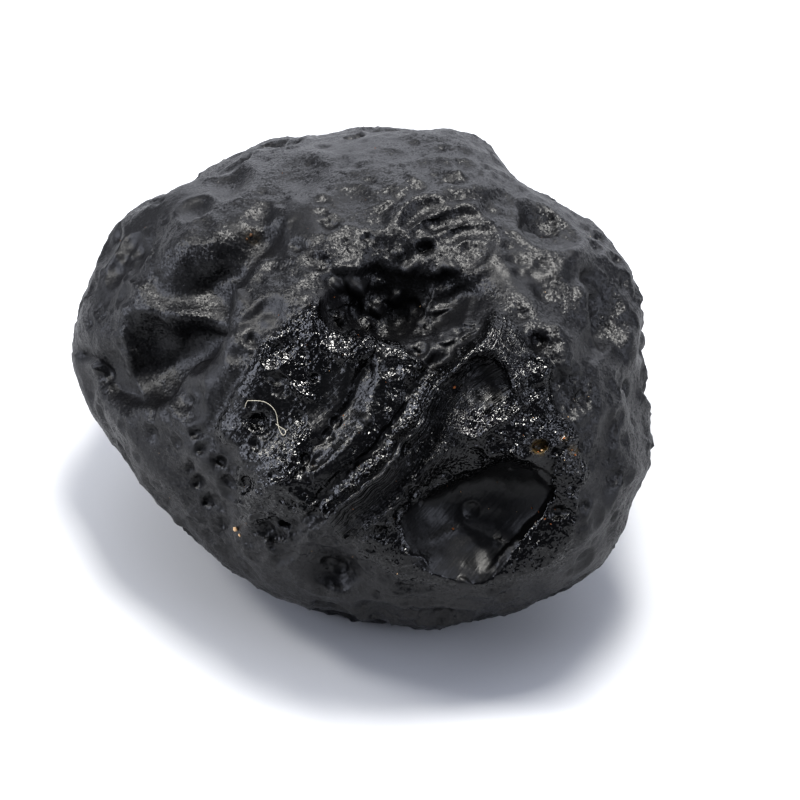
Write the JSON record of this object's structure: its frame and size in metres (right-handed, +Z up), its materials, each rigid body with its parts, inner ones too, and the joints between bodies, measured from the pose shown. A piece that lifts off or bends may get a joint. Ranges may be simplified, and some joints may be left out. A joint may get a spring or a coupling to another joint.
{
  "type": "tektite",
  "caption": "Lump of black natural glass, pitted and grooved all over, with a broad hollowed face and a flattened underside it rests on.",
  "frame": {"origin": "middle of the stone's box, on the surface it rests on", "axes": "+X along the stone's longest side, from its duller end to its broken end; -Y is the way its broad hollowed face looks; +Z up, across its shortest side"},
  "size_m": [0.0336, 0.0324, 0.0246],
  "materials": {
    "tektite_glass": "etched black natural glass, opaque, satin with glints"
  },
  "bodies": {
    "root": {"tektite": "tektite_glass"}
  },
  "joints": []
}
